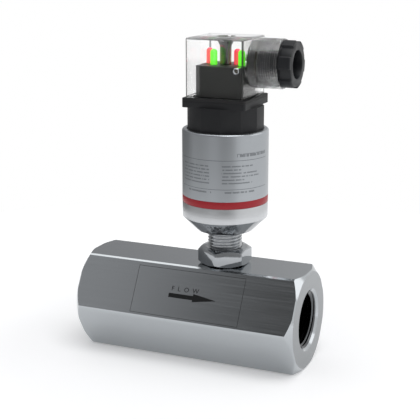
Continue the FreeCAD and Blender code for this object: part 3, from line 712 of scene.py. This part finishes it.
show(tree, add_node(tree, "BsdfPrincipled", {
    "Base Color": tube_colour.outputs[2], "Metallic": tube_metal.outputs[0], "Roughness": 0.32,
    "Normal": fine_grain(tree, 4000.0, 0.05, 2.0)}))
finish_piece(softened("housing_sleeve", "anodised_tube", 0.05 * MM, segments=1, angle=60), anodised,
             "sensor_head", "sleeve_silver", "housing_sleeve")


# Inside the tube: a glass-cloth laminate board with moulded packages soldered on, and the nitrile ring
# that seals the foot. The grommet in the gland is of the same rubber.

# green solder mask over glass cloth, whose weave shows through as waves about 1 mm wide
laminate, tree = start_material("solder_masked_laminate")
show(tree, add_node(tree, "BsdfPrincipled", {
    "Base Color": linear("#1c5a35"), "Roughness": 0.35,
    "Normal": fine_grain(tree, 900.0, 0.2)}))
dress(laminate, "circuit_board")

# filled epoxy: black with a fine sandy skin
package, tree = start_material("moulded_epoxy")
show(tree, add_node(tree, "BsdfPrincipled", {
    "Base Color": linear("#1a1a1b"), "Roughness": 0.5,
    "Normal": fine_grain(tree, 3000.0, 0.3)}))
dress(package, "board_components")

# nitrile rubber: dull black with a slightly uneven skin
nitrile, tree = start_material("nitrile_rubber")
show(tree, add_node(tree, "BsdfPrincipled", {
    "Base Color": linear("#1f1f20"), "Roughness": 0.6, "Specular IOR Level": 0.3,
    "Normal": fine_grain(tree, 1600.0, 0.35)}))
dress(nitrile, "housing_o_ring", "gland_grommet")


# Connector base and seal: black glass-filled nylon with twelve flats for the fingers, and a square
# flange under a flat nitrile seal.

# glass-filled nylon from a spark-eroded mould: black and half matt, with a grain about 0.3 mm wide
black_nylon, tree = start_material("black_glass_filled_nylon")
show(tree, add_node(tree, "BsdfPrincipled", {
    "Base Color": linear("#1b1c1e"), "Roughness": 0.5, "IOR": 1.53, "Specular IOR Level": 0.25,
    "Normal": fine_grain(tree, 3200.0, 0.12, 2.0, 0.1 * MM)}))
finish_piece(softened("connector_base", "nylon_base", 0.25 * MM, angle=25), black_nylon, "sensor_head",
             "base_black", "connector_base", smooth_deg=25)
finish_piece(softened("profile_gasket", "flat_seal", 0.2 * MM), nitrile, "sensor_head", "seal_rubber",
             "profile_gasket")

# tin plate over brass: a soft white shine
tinned, tree = start_material("tinned_brass")
show(tree, add_node(tree, "BsdfPrincipled", {
    "Base Color": linear("#c4c3bf"), "Metallic": 1.0, "Roughness": 0.2,
    "Normal": fine_grain(tree, 2600.0, 0.1)}))
dress(tinned, "contact_pins", "earth_pin")


# Terminal block: dark grey glass-filled nylon, moulded, clipped up into the cap. Brass sockets stand in
# it, and a zinc-plated screw with a hexagon socket clamps each wire from the side.

# the same nylon in dark grey, from a smoother mould, so it is glossier
grey_nylon, tree = start_material("grey_glass_filled_nylon")
show(tree, add_node(tree, "BsdfPrincipled", {
    "Base Color": linear("#2d2e2c"), "Roughness": 0.4, "IOR": 1.53, "Specular IOR Level": 0.3,
    "Normal": fine_grain(tree, 3200.0, 0.1, 2.0, 0.1 * MM)}))
finish_piece(softened("terminal_block", "nylon_block", 0.2 * MM), grey_nylon, "plug", "block_grey",
             "terminal_block")

# bare brass: warm yellow with a drawn surface
brass, tree = start_material("bare_brass")
show(tree, add_node(tree, "BsdfPrincipled", {
    "Base Color": linear("#c9a95c"), "Metallic": 1.0, "Roughness": 0.25,
    "Normal": fine_grain(tree, 2400.0, 0.12)}))
dress(brass, "terminal_sleeves")

# zinc plate: bright and faintly blue
zinc_plated, tree = start_material("zinc_plated_steel")
show(tree, add_node(tree, "BsdfPrincipled", {
    "Base Color": linear("#c9ccd0"), "Metallic": 1.0, "Roughness": 0.15,
    "Normal": fine_grain(tree, 2000.0, 0.08)}))

# blackened steel: dark brown-grey with an oily shine
blackened, tree = start_material("blackened_steel")
show(tree, add_node(tree, "BsdfPrincipled", {
    "Base Color": linear("#55524a"), "Metallic": 1.0, "Roughness": 0.22,
    "Normal": fine_grain(tree, 2200.0, 0.15)}))

block_low, block_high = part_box("terminal_block")
clamp_z = block_high[2] - 1.6 * MM
clamp_offset = 4.65 * MM
clamp_r = 1.58 * MM
clamp_rim_r = 1.25 * MM
clamp_depth = 4.9 * MM
socket_r = 0.95 * MM
socket_depth = 1.4 * MM
clamp_places = (
    ("front", (pickup_x + 2 * clamp_offset, block_low[1], clamp_z), (90, 0, 0)),
    ("back", (pickup_x - clamp_offset, block_high[1], clamp_z), (90, 0, 180)),
    ("left", (block_low[0], -clamp_offset, clamp_z), (90, 0, -90)),
)
for side, face, turn in clamp_places:
    clamp = lathe("clamp_screw_" + side, [
        (clamp_r, -clamp_depth), (clamp_r, -0.35 * MM), (clamp_rim_r, -0.02 * MM)], turns=48)
    socket = lathe("clamp_socket", [
        (socket_r, -socket_depth), (socket_r, -0.25 * MM), (socket_r + 0.35 * MM, 0.1 * MM)], turns=6)
    combine(clamp, socket, "DIFFERENCE")
    place(clamp, turn=turn, move=face)
    finish_piece(clamp, zinc_plated, "plug", "screw_steel", "terminal_screws")
    # a dark disc stands at the socket's floor as painted shade, so the socket looks dark inside
    socket_shade_disc = lathe("clamp_socket_shade_" + side, [
        (socket_r + 0.05 * MM, -1.35 * MM), (socket_r + 0.05 * MM, -0.45 * MM)], turns=6)
    place(socket_shade_disc, turn=turn, move=face)
    finish_piece(socket_shade_disc, blackened, "plug", "screw_steel")
dress(blackened, "fixing_screw", "gland_washer")


# Lamps: four dome-topped 3 mm lamps, lit, a green and a red one on each side of the screw. Their tinted
# epoxy is cast in a polished mould, so it is glossy, and the light inside fills it evenly.
def lamp_epoxy(name, colour, glow):
    """Tinted epoxy with a light inside."""
    made, lamp_tree = start_material(name)
    show(lamp_tree, add_node(lamp_tree, "BsdfPrincipled", {
        "Base Color": linear(colour), "Roughness": 0.12, "IOR": 1.54,
        "Emission Color": linear(glow), "Emission Strength": 0.75}))
    return made


dress(lamp_epoxy("green_epoxy", "#4fd020", "#6cff2e"), "green_leds")
dress(lamp_epoxy("red_epoxy", "#e02a40", "#ff3c58"), "red_leds")


# Plug cap: a hollow box of clear polycarbonate, moulded in one with the well that the long screw goes
# down and with the cable outlet, which is threaded inside for the gland nut.
cap_low, cap_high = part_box("plug_housing")
cap_half = -cap_low[1]
cap_wall = 1.0 * MM
cap_height = cap_high[2] - cap_low[2]
outlet_r = 11.1 * MM
outlet_z = cap_high[2] - outlet_r - 0.1 * MM
outlet_end = cap_high[0] - pickup_x
inner_half = cap_half - cap_wall
cap_round = 0.8 * MM
outlet_pitch = 1.05 * MM
outlet_crest_r = 9.62 * MM
outlet_root_r = 10.05 * MM
cable_hole_r = 8.6 * MM
well_r = 2.6 * MM
funnel_r = 4.1 * MM
funnel_depth = 3.3 * MM
shank_hole_r = 1.55 * MM
head_hole_r = 2.55 * MM
recess_r = 4.5 * MM
recess_depth = 0.6 * MM

clear_selection()
bpy.ops.mesh.primitive_cube_add(size=1)
cap = bpy.context.object
cap.name = "clear_cap"
cap.scale = (2 * cap_half, 2 * cap_half, cap_height)
cap.location = (0, 0, cap_low[2] + cap_height / 2)
bpy.ops.object.transform_apply(location=True, scale=True)
for edge in cap.data.edges:
    ends = [cap.data.vertices[index].co for index in edge.vertices]
    edge.select = max(end.z for end in ends) > cap_high[2] - 0.1 * MM
bpy.ops.object.mode_set(mode="EDIT")
bpy.ops.mesh.select_mode(type="EDGE")
bpy.ops.mesh.bevel(offset=cap_round, segments=4)
bpy.ops.object.mode_set(mode="OBJECT")
rim_steps = [math.radians(18 * step) for step in range(6)]
outlet = lathe("cable_outlet", [(outlet_r, inner_half + 0.2 * MM)] + [
    (outlet_r + cap_round * (math.cos(step) - 1), outlet_end + cap_round * (math.sin(step) - 1))
    for step in rim_steps])
place(outlet, turn=(0, 90, 0), move=(0, 0, outlet_z))
combine(cap, outlet, "UNION")
clear_selection()
bpy.ops.mesh.primitive_cube_add(size=1)
hollow = bpy.context.object
hollow.scale = (2 * inner_half, 2 * inner_half, cap_height)
hollow.location = (0, 0, cap_low[2] + cap_height / 2 - cap_wall)
bpy.ops.object.transform_apply(location=True, scale=True)
combine(cap, hollow, "DIFFERENCE")
thread = threaded_rod("outlet_thread", outlet_crest_r, outlet_root_r, outlet_pitch,
                      cap_half, outlet_end + overrun)
place(thread, turn=(0, 90, 0), move=(0, 0, outlet_z))
combine(cap, thread, "DIFFERENCE")
cable_hole = lathe("cable_hole", [
    (cable_hole_r, inner_half - overrun), (cable_hole_r, cap_half + overrun)])
place(cable_hole, turn=(0, 90, 0), move=(0, 0, outlet_z))
combine(cap, cable_hole, "DIFFERENCE")
well_top = cap_high[2] - cap_wall
well = lathe("screw_well", [
    (well_r, block_high[2]), (well_r, well_top - funnel_depth),
    (funnel_r, well_top), (funnel_r, well_top + 0.2 * MM)], turns=64)
combine(cap, well, "UNION")
screw_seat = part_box("fixing_screw")[1][2] - 2.0 * MM
recess_floor = cap_high[2] - recess_depth
well_bore = lathe("well_bore", [
    (shank_hole_r, block_high[2] - overrun), (shank_hole_r, screw_seat), (head_hole_r, screw_seat),
    (head_hole_r, recess_floor), (recess_r, recess_floor), (recess_r, cap_high[2] + overrun)], turns=64)
combine(cap, well_bore, "DIFFERENCE")
place(cap, move=(pickup_x, 0, 0))

# polished polycarbonate: flat walls are clear where they are looked straight through and more solid at
# a slant, and rounded edges and the screw's well show as solid plastic
clear_plastic, tree = start_material("clear_polycarbonate")
slant = add_node(tree, "LayerWeight", {"Blend": 0.5})
spot = add_node(tree, "TexCoord")
flat_body = add_node(tree, "MapRange", {0: slant.outputs["Facing"], 1: 0.55, 2: 0.95, 3: 0.06, 4: 0.9})
tube_body = add_node(tree, "MapRange", {0: slant.outputs["Facing"], 1: 0.17, 2: 0.5, 3: 0.15, 4: 0.85})
facing_way = add_node(tree, "VectorMath", {0: spot.outputs["Normal"]}, operation="ABSOLUTE")
ways = add_node(tree, "SeparateXYZ", {0: facing_way.outputs[0]})
widest = add_node(tree, "Math", {0: ways.outputs["X"], 1: ways.outputs["Y"]}, operation="MAXIMUM")
widest = add_node(tree, "Math", {0: widest.outputs[0], 1: ways.outputs["Z"]}, operation="MAXIMUM")
# a face within 10 degrees of square to an axis is flat
squareness = 0.985
rounded = add_node(tree, "Math", {0: widest.outputs[0], 1: squareness}, operation="LESS_THAN")
wall_body = add_node(tree, "Mix", {0: rounded.outputs[0], 2: flat_body.outputs[0], 3: 0.92})
level = add_node(tree, "Math", {0: ways.outputs["Z"], 1: squareness}, operation="GREATER_THAN")
box_body = add_node(tree, "Mix", {0: level.outputs[0], 2: wall_body.outputs[0], 3: 0.9})
lengthways = add_node(tree, "SeparateXYZ", {0: spot.outputs["Object"]})
on_tube = add_node(tree, "Math", {0: lengthways.outputs["X"], 1: pickup_x + cap_half + 0.05 * MM},
                   operation="GREATER_THAN")
solidity = add_node(tree, "Mix", {0: on_tube.outputs[0], 2: box_body.outputs[0], 3: tube_body.outputs[0]})
# the longer the way through the plastic, the greyer it looks
depth_of_it = add_node(tree, "MapRange", {0: slant.outputs["Facing"], 1: 0.55, 2: 0.9})
flat_tint = add_node(tree, "Mix", {
    "Factor": depth_of_it.outputs[0], 6: linear("#fbfcfc"), 7: linear("#e6e8e8")}, data_type="RGBA")
# upright rounded edges and the screw's well are painted dark as shade, the corners darkest, and rounded
# edges that face up are painted lighter
off_axis = add_node(tree, "Math", {0: lengthways.outputs["Y"]}, operation="ABSOLUTE")
at_corner = add_node(tree, "Math", {0: off_axis.outputs[0], 1: 6 * MM}, operation="GREATER_THAN")
upright_painted_shade = add_node(tree, "Mix", {
    "Factor": at_corner.outputs[0], 6: linear("#3a4036"), 7: linear("#0d0f0f")}, data_type="RGBA")
upward = add_node(tree, "MapRange", {0: ways.outputs["Z"], 1: 0.3, 2: 0.8})
round_painted_light_and_shade = add_node(tree, "Mix", {
    "Factor": upward.outputs[0], 6: upright_painted_shade.outputs[2], 7: linear("#b4b7b8")}, data_type="RGBA")
edge_tint = add_node(tree, "Mix", {
    "Factor": rounded.outputs[0], 6: flat_tint.outputs[2], 7: round_painted_light_and_shade.outputs[2]}, data_type="RGBA")
# the sloping sides of the thread inside the outlet, 1.05 mm apart, are painted dark as shade and show as
# dark rings
flank_painted_shade = add_node(tree, "MapRange", {0: ways.outputs["X"], 1: 0.3, 2: 0.5})
tube_tint = add_node(tree, "Mix", {
    "Factor": flank_painted_shade.outputs[0], 6: flat_tint.outputs[2], 7: linear("#1c1e20")}, data_type="RGBA")
tint = add_node(tree, "Mix", {
    "Factor": on_tube.outputs[0], 6: edge_tint.outputs[2], 7: tube_tint.outputs[2]}, data_type="RGBA")
show(tree, add_node(tree, "BsdfPrincipled", {
    "Base Color": tint.outputs[2], "Roughness": 0.02, "IOR": 1.585, "Transmission Weight": 1.0,
    "Alpha": solidity.outputs[0]}))
finish_piece(cap, clear_plastic, "plug", "cap_clear", "plug_housing", smooth_deg=25)


# Gland nut: black nylon, moulded with six ribs for the fingers and an open bore for the cable. Its
# threaded shank screws into the cap's outlet and squeezes the grommet.

# nylon from a satin mould: blue-black with a soft sheen, its grain 0.3 mm wide
satin_nylon, tree = start_material("black_satin_nylon")
show(tree, add_node(tree, "BsdfPrincipled", {
    "Base Color": linear("#16181b"), "Roughness": 0.42, "IOR": 1.53, "Specular IOR Level": 0.3,
    "Normal": fine_grain(tree, 3200.0, 0.08, 2.0, 0.1 * MM)}))
ribbed_nut = softened("gland_nut", "nylon_gland_nut", 0.25 * MM)
shank_start = cap_half + 4.6 * MM
shank_r = 9.5 * MM
# the thread is what is left of the shank when the waste round it is cut away
shank_waste = lathe("shank_waste", [
    (shank_r + 0.2 * MM, shank_start), (shank_r + 0.2 * MM, outlet_end - 0.05 * MM)])
shank_thread = threaded_rod("shank_thread", shank_r - 0.4 * MM, shank_r - 0.02 * MM, outlet_pitch,
                            shank_start - overrun, outlet_end + overrun)
combine(shank_waste, shank_thread, "DIFFERENCE")
place(shank_waste, turn=(0, 90, 0), move=(pickup_x, 0, outlet_z))
combine(ribbed_nut, shank_waste, "DIFFERENCE")
finish_piece(ribbed_nut, satin_nylon, "cable_nut", "gland_black", "gland_nut")
